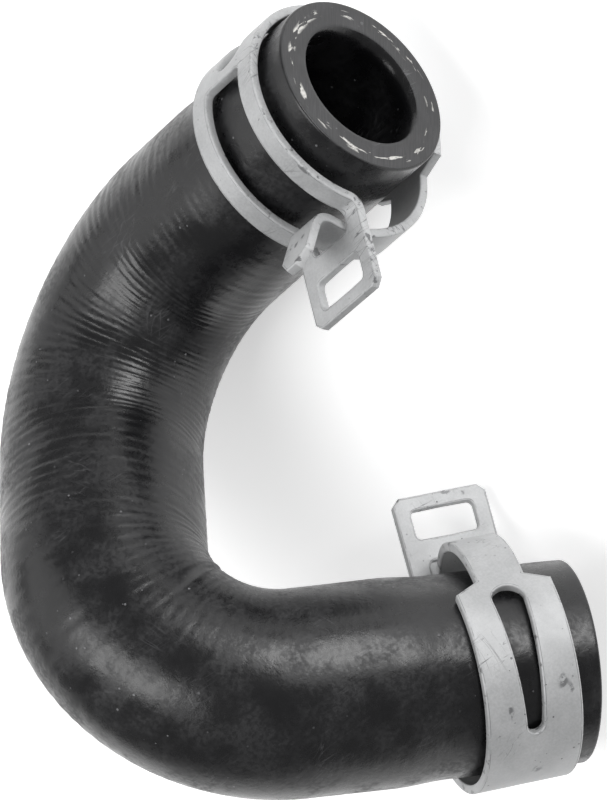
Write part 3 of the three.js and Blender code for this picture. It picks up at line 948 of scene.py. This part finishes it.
class COOLANT_OT_studio(bpy.types.Operator):
    """Sets the pale floor, the soft lights and the camera of the picture"""

    bl_idname = "coolant_hose.studio"
    bl_label = "Studio"

    def execute(self, context):
        studio = context.scene.hose_studio
        middle = np.array((CAD_BOX[0] + CAD_BOX[1]) / 2)
        # The picture's right, top and the way back to the camera
        right, up = np.array(studio.camera_right), np.array(studio.camera_up)
        axes = np.stack(square_axes(right, up))

        camera = new_object("camera", bpy.data.cameras.new("camera"))
        camera.data.lens = studio.lens
        camera.data.sensor_fit = "VERTICAL"
        camera.data.sensor_height = 36
        camera.data.clip_end = 20
        camera.data.dof.use_dof = False
        place_object(camera, *axes, studio.camera_at)
        context.scene.camera = camera

        half = studio.floor_size / 2
        side = np.linspace(-half, half, 5)
        x, y = np.meshgrid(side, side, indexing="ij")
        grid = np.stack((x, y, np.full_like(x, -FLOOR_DROP)), -1).reshape(-1, 3)
        floor = mesh_piece("floor", grid, grid_faces(5, 5)[:, ::-1])
        floor.data.materials.append(floor_material(studio))

        # Name, power, direction from the part and long side, both in the picture's right, top
        # and way back, distance, and the two sides of the light
        lights = (
            (
                "key", studio.key_power,
                (-0.68, -0.2, 0.7), (0.6, -0.26, 0.46), 0.55, (0.46, 0.26),
            ),
            (
                "window", studio.window_power,
                (0.37, 0.6, 0.71), (0.19, -0.33, 0.1), 0.6, (0.4, 0.2),
            ),
            ("side", studio.side_power, (-0.98, 0.05, 0.12), (0, 1, 0), 0.6, (0.5, 0.5)),
        )
        for name, power, direction, long_side, distance, size in lights:
            lamp = bpy.data.lights.new(name, "AREA")
            lamp.shape = "RECTANGLE"
            lamp.size, lamp.size_y = size
            lamp.energy = power
            towards, first, second = square_axes(direction @ axes, long_side @ axes)
            spot = middle + towards * distance
            place_object(new_object(name, lamp), first, second, towards, spot)

        world = bpy.data.worlds.new("room")
        world.use_nodes = True
        background = next(node for node in world.node_tree.nodes if node.type == "BACKGROUND")
        background.inputs["Color"].default_value = (1, 1, 1, 1)
        background.inputs["Strength"].default_value = studio.room
        context.scene.world = world
        context.scene.view_settings.view_transform = "Standard"
        return {"FINISHED"}


class COOLANT_OT_hose(bpy.types.Operator):
    """Makes the moulded rubber hose with its two bends and its cut ends"""

    bl_idname = "coolant_hose.hose"
    bl_label = "Hose"

    def execute(self, context):
        scene = context.scene
        piece = make_hose_mesh(scene.hose_shape, scene.hose_fineness)
        piece.data.materials.append(rubber_material(scene.hose_finish))
        piece.data.materials.append(cut_face_material(scene.hose_finish, scene.hose_shape))
        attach(piece, "root")
        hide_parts("hose")
        return {"FINISHED"}


class COOLANT_OT_clamps(bpy.types.Operator):
    """Makes the two sprung band clamps with their slots, windowed tabs and hooks"""

    bl_idname = "coolant_hose.clamps"
    bl_label = "Band clamps"

    def execute(self, context):
        scene = context.scene
        shape, clamp = scene.hose_shape, scene.clamp_shape
        coating = coating_material(scene.hose_finish)
        for end, at_start in (("lower", True), ("upper", False)):
            turn, skew, tip, rests_at, lean = (
                getattr(clamp, f"{end}_{word}")
                for word in ("turn", "skew", "tip", "rests_at", "tab_lean")
            )
            placing = clamp_placing(shape, clamp, at_start, turn, skew, tip, rests_at)
            piece = make_clamp_mesh(end, shape, clamp, scene.hose_fineness, placing, lean)
            piece.data.materials.append(coating)
            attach(piece, "root")
            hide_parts(f"{end}_clamp")
        return {"FINISHED"}


class COOLANT_PT_panel(bpy.types.Panel):
    """Lists what the add-on makes and its settings"""

    bl_label = "Coolant Hose"
    bl_idname = "COOLANT_PT_panel"
    bl_space_type = "VIEW_3D"
    bl_region_type = "UI"
    bl_category = "Coolant Hose"

    def draw(self, context):
        scene = context.scene
        for operator in (COOLANT_OT_studio, COOLANT_OT_hose, COOLANT_OT_clamps):
            self.layout.operator(operator.bl_idname)
        for name, _ in SETTINGS:
            settings = getattr(scene, name)
            box = self.layout.box()
            for setting in settings.__annotations__:
                box.prop(settings, setting)


SETTINGS = (
    ("hose_shape", HoseShape),
    ("clamp_shape", ClampShape),
    ("hose_finish", Finish),
    ("hose_studio", Studio),
    ("hose_fineness", Fineness),
)
CLASSES = (
    HoseShape, ClampShape, Finish, Studio, Fineness,
    COOLANT_OT_studio, COOLANT_OT_hose, COOLANT_OT_clamps, COOLANT_PT_panel,
)


def register():
    for one in CLASSES:
        bpy.utils.register_class(one)
    for name, settings in SETTINGS:
        setattr(bpy.types.Scene, name, PointerProperty(type=settings))


def unregister():
    for name, _ in SETTINGS:
        delattr(bpy.types.Scene, name)
    for one in reversed(CLASSES):
        bpy.utils.unregister_class(one)


def main():
    register()
    bpy.ops.coolant_hose.studio()
    bpy.ops.coolant_hose.hose()
    bpy.ops.coolant_hose.clamps()


if __name__ == "__main__":
    main()
